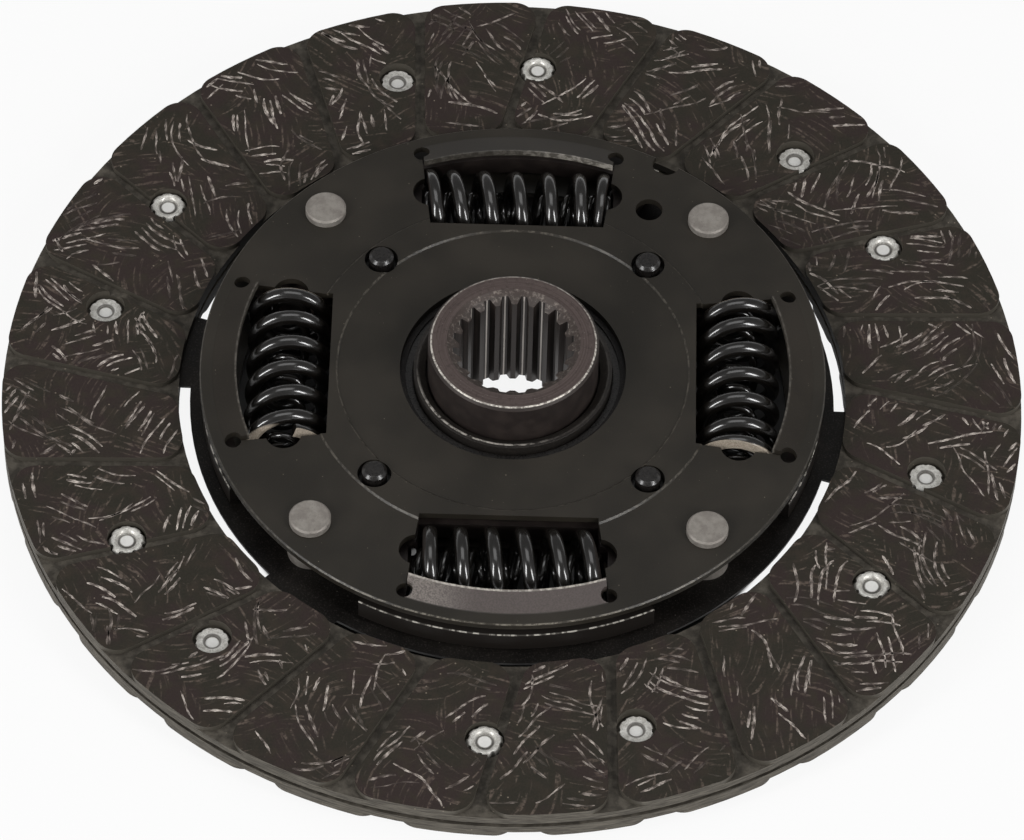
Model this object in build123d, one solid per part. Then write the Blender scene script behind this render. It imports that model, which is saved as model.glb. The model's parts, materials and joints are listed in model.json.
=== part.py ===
from build123d import *
import math
import os

# Friction clutch disc with a torsion damper, millimetres, axis along +Z.
# The origin is the middle of the hub's lower end; +Z points to the side
# where the hub's nose stands out of the cover plate.

os.makedirs("parts", exist_ok=True)

# Hub and its spline
hub_length = 26.0
hub_radius = 16.67
hub_chamfer = 0.6
spline_teeth = 20
spline_major_radius = 11.9
spline_tooth_height = 1.3
spline_space_at_minor = 2.3
spline_space_at_major = 1.2
spline_mouth_width = 2.4
spline_mouth_depth = 1.8
spline_lower_chamfer = 0.3

# Hub flange: four arms, each with a spring window
flange_bottom = 9.1
flange_thickness = 4.4
flange_rim_inset = 0.2
flange_pin_gap = 2.36
flange_arm_margin = 4.0
flange_corner_radius = 2.5

# Cover plate and drive plate
plate_thickness = 1.5
cover_space = 2.3
drive_space = 2.11
cover_bore_gap = 2.7
rib_pack_gap = 0.2
rib_width = 6.8
rib_height = 0.35
rib_slope_width = 0.35
plate_edge_bevel = 0.3

# Spring windows, four of them a quarter turn apart
window_count = 4
window_half_length = 17.2
window_side_angle = 7.2
plate_rim_width = 2.4
lip_width = 4.8
lip_spring_gap = 1.6
lip_rise = 1.4
lip_side_gap = 0.25
lip_overlap = 0.5
notch_radius = 3.5
notch_reach = 0.2
relief_radius = 1.6
relief_inset = 1.6
flange_window_gap = 0.6
flange_pocket_gap = 0.4
flange_pocket_corner = 1.2

# Damper springs
spring_wire = 2.9
spring_mean_radius = 6.85
spring_turns = 6.45
spring_end_gap = 0.6
spring_phases = (0.17, 0.17, 0.5, 0.79)
inner_spring_wire = 1.6
inner_spring_gap = 1.4
inner_spring_turns = 8.6
inner_spring_reach = 0.9
inner_spring_phases = (0.1, 0.3, 0.6, 0.8)
coil_points_per_turn = 12
coil_end_turns = 0.65
coil_end_ease = 0.55
coil_end_pitch_in_wires = 0.85
coil_end_ground_in_wires = 0.1

# Friction facings with slanted grooves
facing_bore_gap = 4.3
facing_width = 34.5
facing_thickness = 3.08
facing_gap = 1.06
groove_count = 24
groove_width = 2.0
groove_depth = 1.3
groove_offset = 18.2
groove_start_angle = 1.7
pad_corner_radius = 4.5

# Facing rivets, six pairs, alternately reversed
rivet_pairs = 6
rivet_inset = 17.4
rivet_pair_angle = 37.65
rivet_spread = 10.0
rivet_hole_radius = 3.8
rivet_floor = 0.68
rivet_shank_radius = 2.0
rivet_fit = 0.1
rivet_bore_radius = 1.45
rivet_head_radius = 3.3
rivet_head_height = 0.8
rivet_head_bevel = 0.2
rivet_dimple_depth = 0.5
petal_count = 8
petal_ring_radius = 2.7
petal_height = 1.7
petal_notch_radius = 0.62
petal_bore_depth = 0.6

# Cushion disc between the facings
cushion_thickness = 0.6
cushion_pin_margin = 1.86
cushion_rim_reach = 2.1
cushion_window_margin = 0.8
neck_angle = 51.5
neck_width_angle = 15.3
neck_overlap = 0.5
cushion_ring_inset = 0.8
cushion_ring_width = 4.2
paddle_root_overlap = 1.5
paddle_rim_inset = 2.4
paddle_gap_angle = 2.4

# Stop pins that hold the two plates together
stop_pin_inset = 7.34
stop_pin_angle = 45.0
stop_pin_body_radius = 4.5
stop_pin_shank_radius = 3.2
stop_pin_fit = 0.05
stop_pin_head_radius = 4.03
stop_pin_head_height = 1.6
stop_pin_head_chamfer = 0.35

# Rivets of the cushion disc on the drive plate
carrier_rivet_inset = 9.7
carrier_rivet_spread = 12.5
carrier_rivet_shank_radius = 2.0
carrier_rivet_head_radius = 3.2
carrier_rivet_head_height = 0.8
carrier_rivet_crown_inset = 0.95
carrier_rivet_crown_height = 0.48
carrier_rivet_fit = 0.05

# Friction pack
running_gap = 0.05
hub_to_bush_gap = 0.43
pack_window_gap = 1.8
bush_flange_thickness = 0.9
collar_wall = 2.3
collar_above_plate = 0.1
collar_funnel_width = 1.5
collar_funnel_depth = 0.9
collar_below_plate = 0.6
lower_collar_wall = 3.2
bush_fit = 0.2
support_ring_reach = 0.8
support_ring_thickness = 0.75
peg_reach = 2.5
peg_angle = 45.5
peg_radius = 2.45
peg_hole_radius = 3.3
peg_ear_radius = 3.4
peg_above_plate = 1.8
peg_chamfer = 0.6
diaphragm_thickness = 0.45
diaphragm_bore_gap = 1.6
diaphragm_width = 12.8
diaphragm_rim_inset = 0.2

# Locating hole and rim notch of the plates
locating_hole_inset = 12.6
locating_hole_angle = 57.3
locating_hole_radius = 2.7
rim_notch_inset = 0.8
rim_notch_angle = 60.7
rim_notch_radius = 2.7

# Spare length of cutting tools beyond what they cut
tool_excess = 1.0

# Heights that follow from the sizes above
flange_top = flange_bottom + flange_thickness
spring_height = flange_bottom + flange_thickness / 2
cover_inner_face = flange_top + cover_space
cover_outer_face = cover_inner_face + plate_thickness
drive_inner_face = flange_bottom - drive_space
drive_outer_face = drive_inner_face - plate_thickness
cushion_bottom = drive_inner_face
cushion_top = cushion_bottom + cushion_thickness
middle_height = cushion_bottom + cushion_thickness / 2
facing_back = middle_height + facing_gap / 2
facing_front = facing_back + facing_thickness

# Springs, sized by their windows and by each other
quarter = 360.0 / window_count
side_slope = math.tan(math.radians(window_side_angle))
spring_outer_radius = spring_mean_radius + spring_wire / 2
spring_flare = spring_outer_radius * side_slope
spring_length = 2 * (window_half_length + spring_flare - spring_end_gap)
inner_spring_outer_radius = spring_mean_radius - spring_wire / 2 - inner_spring_gap
inner_spring_mean_radius = inner_spring_outer_radius - inner_spring_wire / 2
inner_spring_length = spring_length + 2 * inner_spring_reach

# Circles of the spline and the friction pack, from the hub outwards
spline_minor_radius = spline_major_radius - spline_tooth_height
collar_inner_radius = hub_radius + hub_to_bush_gap
collar_outer_radius = collar_inner_radius + collar_wall
cover_bore_radius = collar_outer_radius + cover_bore_gap
lower_collar_radius = collar_inner_radius + lower_collar_wall
drive_bore_radius = lower_collar_radius + bush_fit
diaphragm_inner_radius = collar_outer_radius + diaphragm_bore_gap
diaphragm_outer_radius = diaphragm_inner_radius + diaphragm_width
bush_flange_radius = diaphragm_outer_radius + diaphragm_rim_inset
support_ring_radius = bush_flange_radius + support_ring_reach
peg_circle = support_ring_radius + peg_reach
rib_inner_radius = bush_flange_radius + rib_pack_gap
rib_outer_radius = rib_inner_radius + rib_width

# Circles of the windows and the plates, from the friction pack outwards
window_inner_edge = bush_flange_radius + pack_window_gap
spring_circle = window_inner_edge + spring_outer_radius
lip_tip_radius = spring_circle + spring_outer_radius + lip_spring_gap
lip_root_radius = lip_tip_radius + lip_width
plate_radius = lip_root_radius + plate_rim_width
notch_centre = window_half_length + notch_reach
relief_circle = lip_root_radius - relief_inset

# Circles of what lies just inside the plate's rim
stop_pin_circle = plate_radius - stop_pin_inset
carrier_rivet_circle = plate_radius - carrier_rivet_inset
locating_hole_circle = plate_radius - locating_hole_inset
rim_notch_circle = plate_radius - rim_notch_inset
flange_radius = plate_radius - flange_rim_inset
flange_root_radius = stop_pin_circle - stop_pin_body_radius - flange_pin_gap
cushion_inner_radius = stop_pin_circle - stop_pin_body_radius - cushion_pin_margin

# Circles of the facings and the cushion disc, from the plate's rim outwards
facing_bore_radius = plate_radius + facing_bore_gap
facing_radius = facing_bore_radius + facing_width
rivet_circle = facing_bore_radius + rivet_inset
cushion_ring_inner = facing_bore_radius + cushion_ring_inset
cushion_ring_outer = cushion_ring_inner + cushion_ring_width
paddle_inner = cushion_ring_outer - paddle_root_overlap
paddle_outer = facing_radius - paddle_rim_inset


def around(radius, angle, height=0.0):
    """Place at a radius and an angle round the axis."""
    turn = math.radians(angle)
    return Pos(radius * math.cos(turn), radius * math.sin(turn), height)


def washer(outer, inner, bottom, top):
    """Flat ring on the axis between two heights."""
    return Pos(0, 0, bottom) * extrude(Circle(outer) - Circle(inner), top - bottom)


def turned(points):
    """Solid of revolution from radius and height pairs."""
    profile = make_face(Polyline(*[(r, 0, z) for r, z in points], close=True))
    return revolve(profile, Axis.Z, 360)


def wedge(half_angle, reach):
    """Flat triangle from the axis, opened evenly about +X."""
    turn = math.radians(half_angle)
    far = reach / math.cos(turn)
    left = (far * math.cos(turn), far * math.sin(turn))
    right = (far * math.cos(turn), -far * math.sin(turn))
    return make_face(Polyline((0, 0), right, left, close=True))


def arc_sector(inner, outer, half_angle, middle):
    """Flat piece of a ring, centred on an angle."""
    piece = (Circle(outer) - Circle(inner)) & wedge(half_angle, 1.5 * outer)
    return Rot(0, 0, middle) * piece


def window_sides(inner_edge, half_length, margin, reach):
    """Flat outline of a spring window about +X, its sides opening outwards."""
    near = half_length + margin
    far = near + (reach - inner_edge) * side_slope
    corners = [(inner_edge, -near), (reach, -far), (reach, far), (inner_edge, near)]
    return make_face(Polyline(*corners, close=True))


def side_point(radius):
    """Point of the window's side line at a given distance from the axis."""
    a = 1 + side_slope**2
    b = 2 * (window_inner_edge + window_half_length * side_slope)
    c = window_inner_edge**2 + window_half_length**2 - radius**2
    step = (-b + math.sqrt(b * b - 4 * a * c)) / (2 * a)
    return window_inner_edge + step, window_half_length + step * side_slope


def plate_cut():
    """Flat outline of all that a plate's spring window takes away."""
    cut = window_sides(window_inner_edge, window_half_length, 0.0, 1.2 * plate_radius)
    cut = cut & Circle(lip_root_radius)
    x, y = side_point(relief_circle)
    for side in (-1, 1):
        cut += Pos(spring_circle, side * notch_centre) * Circle(notch_radius)
        cut += Pos(x, side * y) * Circle(relief_radius)
    return cut


def window_lip():
    """Bent lip at the outer side of a window, its plate from height 0 up."""
    t = plate_thickness
    root = lip_root_radius + lip_overlap
    profile = [
        (lip_tip_radius, lip_rise),
        (lip_root_radius, 0),
        (root, 0),
        (root, t),
        (lip_root_radius, t),
        (lip_tip_radius, lip_rise + t),
    ]
    bound = window_sides(window_inner_edge, window_half_length, -lip_side_gap, 1.2 * plate_radius)
    block = extrude(bound, lip_rise + 2 * t)
    return turned(profile) & block


def damper_plate(bore_radius, ribbed):
    """Pressed plate with four lipped windows, its inner face at height 0."""
    t = plate_thickness
    b = plate_edge_bevel
    low = [(bore_radius, 0)]
    high = [(bore_radius, t)]
    if ribbed:
        w = rib_slope_width
        h = rib_height
        shape = [
            (rib_inner_radius, 0),
            (rib_inner_radius + w, h),
            (rib_outer_radius - w, h),
            (rib_outer_radius, 0),
        ]
        low += shape
        high += [(r, z + t) for r, z in shape]
    low += [(plate_radius, 0), (plate_radius, t - b)]
    high += [(plate_radius - b, t)]
    plate = turned(low + high[::-1])
    window = extrude(plate_cut(), t + rib_height, dir=(0, 0, 1))
    x, y = side_point(relief_circle)
    holes = [Pos(x, s * y, -t) * Cylinder(relief_radius, 6 * t) for s in (-1, 1)]
    lip = window_lip() - holes
    for k in range(window_count):
        plate -= Rot(0, 0, k * quarter) * window
        plate += Rot(0, 0, k * quarter) * lip
    pin_hole = Cylinder(stop_pin_shank_radius + stop_pin_fit, 4 * t)
    for k in range(window_count):
        plate -= around(stop_pin_circle, stop_pin_angle + k * quarter) * pin_hole
    locating_hole = Cylinder(locating_hole_radius, 4 * t)
    plate -= around(locating_hole_circle, locating_hole_angle) * locating_hole
    return plate


def coil_spring(mean_radius, wire, length, turns, phase, hand, slope):
    """Compression spring about +Z, centred, its ground ends sloped to open along +Y."""
    first = coil_end_pitch_in_wires * wire
    closed = coil_end_turns - coil_end_ease / 2
    steps = int(turns * 10 * coil_points_per_turn)
    step = turns / steps

    def opened(t):
        """0 in the closed ends, 1 in the open coils, smooth between."""
        value = 1.0
        for x in (t - closed, turns - closed - t):
            u = min(1.0, max(0.0, x / coil_end_ease))
            value *= u * u * (3 - 2 * u)
        return value

    share = [opened((i + 0.5) * step) for i in range(steps)]
    closed_turns = step * sum(1 - s for s in share)
    open_turns = step * sum(share)
    rise = length - 2 * coil_end_ground_in_wires * wire
    pitch = (rise - first * closed_turns) / open_turns
    heights = [0.0]
    for s in share:
        heights.append(heights[-1] + step * (first * (1 - s) + pitch * s))
    count = int(turns * coil_points_per_turn) + 1
    points = []
    for k in range(count):
        t = turns * k / (count - 1)
        z = heights[min(steps, round(t / step))] - rise / 2
        turn = hand * 2 * math.pi * (t - phase)
        y = mean_radius * math.sin(turn)
        points.append(Vector(mean_radius * math.cos(turn), y, z + 2 * slope * y * z / length))
    path = Spline(points)
    section = Plane(origin=path @ 0, z_dir=path % 0) * Circle(wire / 2)
    coil = sweep(section, path=path, is_frenet=True)
    reach = mean_radius + wire
    near = length / 2 - slope * reach
    far = length / 2 + slope * reach
    ends = Polyline((0, -reach, -near), (0, reach, -far), (0, reach, far), (0, -reach, near), close=True)
    return coil & extrude(make_face(ends), reach, dir=(1, 0, 0), both=True)


def spring_place(angle):
    """Spring frame in a window: X up, Z along the circle."""
    turn = math.radians(angle)
    middle = (spring_circle * math.cos(turn), spring_circle * math.sin(turn), spring_height)
    return Plane(origin=middle, x_dir=(0, 0, 1), z_dir=(-math.sin(turn), math.cos(turn), 0))


def turn_over(piece):
    """Turn a piece over end for end about the middle of the facings."""
    turn = math.radians(rivet_pair_angle)
    axis = Axis((0, 0, middle_height), (math.cos(turn), math.sin(turn), 0))
    return piece.rotate(axis, 180)


def save(piece, name):
    """Write one piece to its own file."""
    piece.label = name
    export_step(piece, os.path.join("parts", name + ".step"))


# Hub with its flange and splined bore
window_side_at_root = math.asin(side_point(flange_root_radius)[1] / flange_root_radius)
arm_half_angle = math.degrees(window_side_at_root + flange_arm_margin / flange_root_radius)
flange = Circle(flange_root_radius)
for k in range(window_count):
    flange += arc_sector(spring_circle / 2, flange_radius, arm_half_angle, k * quarter)
inner_corners = [
    v for v in flange.vertices() if abs(Vector(v.X, v.Y, 0).length - flange_root_radius) < 0.01
]
flange = fillet(inner_corners, flange_corner_radius)
flange_inner_edge = window_inner_edge - flange_window_gap
flange_half = window_half_length - flange_window_gap * side_slope
opening = window_sides(flange_inner_edge, flange_half, 0.0, 1.2 * flange_radius)
spring_far_corner = math.hypot(spring_circle + spring_outer_radius, spring_length / 2 + spring_flare)
opening = opening & Circle(spring_far_corner + flange_window_gap)
pocket_length = inner_spring_length + 2 * spring_end_gap
pocket_width = 2 * (inner_spring_outer_radius + flange_pocket_gap)
opening += Pos(spring_circle, 0) * RectangleRounded(pocket_width, pocket_length, flange_pocket_corner)
for k in range(window_count):
    flange -= Rot(0, 0, k * quarter) * opening
hub = Pos(0, 0, flange_bottom) * extrude(flange, flange_thickness)
barrel = [
    (0, 0),
    (hub_radius - hub_chamfer, 0),
    (hub_radius, hub_chamfer),
    (hub_radius, hub_length - hub_chamfer),
    (hub_radius - hub_chamfer, hub_length),
    (0, hub_length),
]
hub += turned(barrel)
flank = (spline_space_at_minor - spline_space_at_major) / (2 * spline_tooth_height)
space_root = spline_minor_radius - spline_tooth_height / 2
space_far = spline_major_radius + spline_tooth_height / 2
half_root = (spline_space_at_minor + flank * spline_tooth_height) / 2
half_far = (spline_space_at_major - flank * spline_tooth_height) / 2
space = make_face(
    Polyline(
        (space_root, -half_root),
        (space_far, -half_far),
        (space_far, half_far),
        (space_root, half_root),
        close=True,
    )
)
bore = Circle(spline_minor_radius)
first_space = 90.0 + 180.0 / spline_teeth
for k in range(spline_teeth):
    bore += Rot(0, 0, first_space + k * 360.0 / spline_teeth) * space
bore = bore & Circle(spline_major_radius)
hub -= Pos(0, 0, -tool_excess) * extrude(bore, hub_length + 2 * tool_excess)
for width, depth, base, way in (
    (spline_lower_chamfer, spline_lower_chamfer, 0.0, 1),
    (spline_mouth_width, spline_mouth_depth, hub_length, -1),
):
    wide = spline_minor_radius + width * (1 + tool_excess / depth)
    mouth = [(0, -tool_excess), (wide, -tool_excess), (spline_minor_radius, depth), (0, depth)]
    hub -= turned([(r, base + way * z) for r, z in mouth])
save(hub, "hub")

# Cover plate on the nose side, drive plate on the other side
cover_plate = damper_plate(cover_bore_radius, True)
peg_hole = Cylinder(peg_hole_radius, 6 * plate_thickness)
for k in range(window_count):
    cover_plate -= around(peg_circle, peg_angle + k * quarter) * peg_hole
rim_notch = Cylinder(rim_notch_radius, 6 * plate_thickness)
cover_plate -= around(rim_notch_circle, rim_notch_angle) * rim_notch
cover_plate = Pos(0, 0, cover_inner_face) * cover_plate
save(cover_plate, "cover_plate")

drive_plate = damper_plate(drive_bore_radius, False)
carrier_hole = Cylinder(carrier_rivet_shank_radius + carrier_rivet_fit, 6 * plate_thickness)
carrier_places = []
for k in range(window_count):
    for side in (-1, 1):
        angle = stop_pin_angle + side * carrier_rivet_spread + k * quarter
        carrier_places.append(around(carrier_rivet_circle, angle))
for place in carrier_places:
    drive_plate -= place * carrier_hole
drive_plate = Pos(0, 0, drive_inner_face) * mirror(drive_plate, about=Plane.XY)
save(drive_plate, "drive_plate")

# Stop pins, riveted over on both plates
h = stop_pin_head_height
c = stop_pin_head_chamfer
pin_profile = [
    (0, drive_outer_face - h),
    (stop_pin_head_radius - c, drive_outer_face - h),
    (stop_pin_head_radius, drive_outer_face - h + c),
    (stop_pin_head_radius, drive_outer_face),
    (stop_pin_shank_radius, drive_outer_face),
    (stop_pin_shank_radius, cushion_top),
    (stop_pin_body_radius, cushion_top),
    (stop_pin_body_radius, cover_inner_face),
    (stop_pin_shank_radius, cover_inner_face),
    (stop_pin_shank_radius, cover_outer_face),
    (stop_pin_head_radius, cover_outer_face),
    (stop_pin_head_radius, cover_outer_face + h - c),
    (stop_pin_head_radius - c, cover_outer_face + h),
    (0, cover_outer_face + h),
]
for k in range(window_count):
    pin = around(stop_pin_circle, stop_pin_angle + k * quarter) * turned(pin_profile)
    save(pin, "stop_pin_%d" % (k + 1))

# Damper springs, an outer one and a counter-wound inner one in each window
for k in range(window_count):
    place = spring_place(k * quarter)
    outer = coil_spring(
        spring_mean_radius, spring_wire, spring_length, spring_turns, spring_phases[k], 1, side_slope
    )
    save(place * outer, "outer_spring_%d" % (k + 1))
    inner = coil_spring(
        inner_spring_mean_radius,
        inner_spring_wire,
        inner_spring_length,
        inner_spring_turns,
        inner_spring_phases[k],
        -1,
        0.0,
    )
    save(place * inner, "inner_spring_%d" % (k + 1))

# Friction facings: a ring with raised pads between the slanted grooves
pad_level = facing_thickness - groove_depth
groove_middle = (facing_radius + facing_bore_radius) / 2
groove = Pos(groove_middle, groove_offset) * Rectangle(2 * facing_width, groove_width)
groove_pitch = 360.0 / groove_count
rivet_angles = []
for k in range(rivet_pairs):
    rivet_angles.append(rivet_pair_angle + k * 360.0 / rivet_pairs)
floor_holes = []
sink_holes = []
for middle in rivet_angles:
    for side in (-1, 1):
        spot = around(rivet_circle, middle + side * rivet_spread)
        floor_holes.append(spot * Circle(rivet_shank_radius + rivet_fit))
        sink_holes.append(spot * Circle(rivet_hole_radius))
facing_ring = Circle(facing_radius) - Circle(facing_bore_radius)
grooves = [Rot(0, 0, groove_start_angle + k * groove_pitch) * groove for k in range(groove_count)]
pads = facing_ring - grooves
pads = fillet(pads.vertices(), pad_corner_radius) - sink_holes
facing = extrude(facing_ring - floor_holes, rivet_floor)
facing += Pos(0, 0, rivet_floor) * extrude(facing_ring - sink_holes, pad_level - rivet_floor)
facing += (Pos(0, 0, pad_level) * extrude(pads, groove_depth)).solids()
upper_facing = Pos(0, 0, facing_back) * facing
save(upper_facing, "upper_facing")
lower_facing = turn_over(upper_facing)
save(lower_facing, "lower_facing")

# Tubular facing rivets: flat head on one side, rolled petals on the other
seat = facing_back + rivet_floor
head_top = seat + rivet_head_height
petal_top = 2 * middle_height - seat
petal_minor = petal_height / 2
petal_floor = petal_top - petal_height + petal_bore_depth
rivet_profile = [
    (rivet_shank_radius, petal_top),
    (rivet_shank_radius, seat),
    (rivet_head_radius, seat),
    (rivet_head_radius, head_top - rivet_head_bevel),
    (rivet_head_radius - rivet_head_bevel, head_top),
    (rivet_bore_radius, head_top),
    (rivet_bore_radius, head_top - rivet_dimple_depth),
    (0, head_top - rivet_dimple_depth),
    (0, petal_floor),
    (rivet_bore_radius, petal_floor),
    (rivet_bore_radius, petal_top),
]
curl = make_face(Pos(petal_ring_radius, 0, petal_top - petal_minor) * Rot(90, 0, 0) * Edge.make_circle(petal_minor))
rivet = turned(rivet_profile) + revolve(curl, Axis.Z, 360)
rivet += washer(petal_ring_radius, rivet_bore_radius, petal_top - petal_minor, petal_top)
for k in range(petal_count):
    tip = around(petal_ring_radius + petal_minor, k * 360.0 / petal_count, petal_top)
    rivet -= tip * Cylinder(petal_notch_radius, 4 * petal_height)
upright = [around(rivet_circle, a + rivet_spread) * rivet for a in rivet_angles]
reversed_rivets = [turn_over(r) for r in upright]
save(Compound(children=upright), "facing_rivets_head_up")
save(Compound(children=reversed_rivets), "facing_rivets_petal_up")

# Cushion disc: flat on the drive plate, six necks, sprung paddles between the facings
cushion_rim = plate_radius + cushion_rim_reach
cushion = Circle(cushion_rim) - Circle(cushion_inner_radius)
gap_outline = window_sides(
    window_inner_edge, window_half_length, cushion_window_margin, 1.2 * plate_radius
)
gap_outline = gap_outline & Circle(lip_root_radius)
for k in range(window_count):
    cushion -= Rot(0, 0, k * quarter) * gap_outline
    pin_place = around(stop_pin_circle, stop_pin_angle + k * quarter)
    cushion -= pin_place * Circle(stop_pin_shank_radius + stop_pin_fit)
for place in carrier_places:
    cushion -= place * Circle(carrier_rivet_shank_radius + carrier_rivet_fit)
neck_inner = cushion_rim - neck_overlap
neck_outer = cushion_ring_inner + neck_overlap
for k in range(rivet_pairs):
    middle = neck_angle + k * 360.0 / rivet_pairs
    cushion += arc_sector(neck_inner, neck_outer, neck_width_angle / 2, middle)
cushion += Circle(cushion_ring_outer) - Circle(cushion_ring_inner)
cushion_disc = Pos(0, 0, cushion_bottom) * extrude(cushion, cushion_thickness)
paddle_pitch = 180.0 / rivet_pairs
paddle_half = (paddle_pitch - paddle_gap_angle) / 2
wave = (facing_gap - cushion_thickness) / 2
for k in range(2 * rivet_pairs):
    middle = rivet_pair_angle + (k + 0.5) * paddle_pitch
    lift = wave if k % 2 == 0 else -wave
    paddle = arc_sector(paddle_inner, paddle_outer, paddle_half, middle)
    cushion_disc += Pos(0, 0, cushion_bottom + lift) * extrude(paddle, cushion_thickness)
for middle in rivet_angles:
    for side in (-1, 1):
        spot = around(rivet_circle, middle + side * rivet_spread, middle_height)
        cushion_disc -= spot * Cylinder(rivet_shank_radius + rivet_fit, 4 * cushion_thickness)
save(cushion_disc, "cushion_disc")

# Rivets between cushion disc and drive plate
r = carrier_rivet_head_radius
s = carrier_rivet_shank_radius
h = carrier_rivet_head_height
crown = r - carrier_rivet_crown_inset
edge = h - carrier_rivet_crown_height
carrier_profile = [
    (0, drive_outer_face - h),
    (crown, drive_outer_face - h),
    (r, drive_outer_face - edge),
    (r, drive_outer_face),
    (s, drive_outer_face),
    (s, cushion_top),
    (r, cushion_top),
    (r, cushion_top + edge),
    (crown, cushion_top + h),
    (0, cushion_top + h),
]
carrier_rivets = [place * turned(carrier_profile) for place in carrier_places]
save(Compound(children=carrier_rivets), "carrier_rivets")

# Upper bush: friction flange on the hub flange, collar round the hub
bush_low = flange_top + running_gap
bush_high = bush_low + bush_flange_thickness
collar_top = cover_outer_face + collar_above_plate
upper_bush = turned(
    [
        (collar_inner_radius, bush_low),
        (bush_flange_radius, bush_low),
        (bush_flange_radius, bush_high),
        (collar_outer_radius, bush_high),
        (collar_outer_radius, collar_top),
        (collar_inner_radius + collar_funnel_width, collar_top),
        (collar_inner_radius, collar_top - collar_funnel_depth),
    ]
)
save(upper_bush, "upper_bush")

# Support ring with four pegs through the cover plate
support_top = bush_high + support_ring_thickness
support_outline = Circle(support_ring_radius) - Circle(collar_outer_radius + bush_fit)
peg_top = cover_outer_face + peg_above_plate
peg_profile = [
    (0, bush_high),
    (peg_radius, bush_high),
    (peg_radius, peg_top - peg_chamfer),
    (peg_radius - peg_chamfer, peg_top),
    (0, peg_top),
]
for k in range(window_count):
    support_outline += around(peg_circle, peg_angle + k * quarter) * Circle(peg_ear_radius)
support_ring = Pos(0, 0, bush_high) * extrude(support_outline, support_ring_thickness)
for k in range(window_count):
    support_ring += around(peg_circle, peg_angle + k * quarter) * turned(peg_profile)
save(support_ring, "support_ring")

# Diaphragm spring between support ring and cover plate
t = diaphragm_thickness
diaphragm = turned(
    [
        (diaphragm_inner_radius, support_top),
        (diaphragm_outer_radius, cover_inner_face - t),
        (diaphragm_outer_radius, cover_inner_face),
        (diaphragm_inner_radius, support_top + t),
    ]
)
save(diaphragm, "diaphragm_spring")

# Lower bush: fills the space under the hub flange and centres the drive plate
lower_bush = turned(
    [
        (collar_inner_radius, drive_outer_face - collar_below_plate),
        (lower_collar_radius, drive_outer_face - collar_below_plate),
        (lower_collar_radius, drive_inner_face),
        (bush_flange_radius, drive_inner_face),
        (bush_flange_radius, flange_bottom - running_gap),
        (collar_inner_radius, flange_bottom - running_gap),
    ]
)
save(lower_bush, "lower_bush")
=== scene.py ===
import json
import math
import random

import bpy
from mathutils import Matrix, Vector

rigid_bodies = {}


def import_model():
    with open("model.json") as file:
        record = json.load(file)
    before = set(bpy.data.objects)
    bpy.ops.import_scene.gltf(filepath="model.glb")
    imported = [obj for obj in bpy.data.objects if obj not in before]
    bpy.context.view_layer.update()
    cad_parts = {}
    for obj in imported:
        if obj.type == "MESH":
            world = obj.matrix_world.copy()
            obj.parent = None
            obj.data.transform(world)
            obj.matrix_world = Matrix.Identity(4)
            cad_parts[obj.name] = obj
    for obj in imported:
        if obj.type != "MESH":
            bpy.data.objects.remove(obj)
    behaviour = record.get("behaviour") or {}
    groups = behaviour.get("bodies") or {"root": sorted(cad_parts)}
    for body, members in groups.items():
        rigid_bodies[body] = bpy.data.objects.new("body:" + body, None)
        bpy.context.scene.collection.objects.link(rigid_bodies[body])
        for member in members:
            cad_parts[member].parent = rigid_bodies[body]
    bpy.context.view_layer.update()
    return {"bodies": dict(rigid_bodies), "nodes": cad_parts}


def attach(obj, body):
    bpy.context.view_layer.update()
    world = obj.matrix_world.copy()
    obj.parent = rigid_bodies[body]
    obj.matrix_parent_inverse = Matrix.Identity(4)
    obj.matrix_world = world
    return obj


# Clutch disc with a torsion damper. Metres, axis along +Z, standing on its hub.

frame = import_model()
nodes = frame["nodes"]
MM = 0.001

# Camera: place in metres, lens and sensor in millimetres, angles in degrees
CAMERA_LENS = 218.05
CAMERA_SENSOR = 36.0
CAMERA_PLACE = (0.0001, -0.73835, 0.97852)
CAMERA_ELEVATION = 52.944
CAMERA_ROLL = 1.569


def set_camera():
    """Long lens, in front of the disc and above it, slightly rolled."""
    data = bpy.data.cameras.new("view_camera")
    data.lens = CAMERA_LENS
    data.sensor_width = CAMERA_SENSOR
    data.sensor_fit = "HORIZONTAL"
    data.clip_start = 0.05
    data.clip_end = 20.0
    data.dof.use_dof = False
    camera = bpy.data.objects.new("view_camera", data)
    bpy.context.scene.collection.objects.link(camera)
    e = math.radians(CAMERA_ELEVATION)
    roll = math.radians(CAMERA_ROLL)
    back = Vector((0.0, -math.cos(e), math.sin(e)))
    up = Vector((0.0, math.sin(e), math.cos(e)))
    right = Vector((1.0, 0.0, 0.0))
    x = math.cos(roll) * right + math.sin(roll) * up
    y = -math.sin(roll) * right + math.cos(roll) * up
    turn = Matrix((x, y, back)).transposed().to_4x4()
    camera.matrix_world = Matrix.Translation(CAMERA_PLACE) @ turn
    bpy.context.scene.camera = camera


set_camera()


# Node tree helpers

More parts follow.
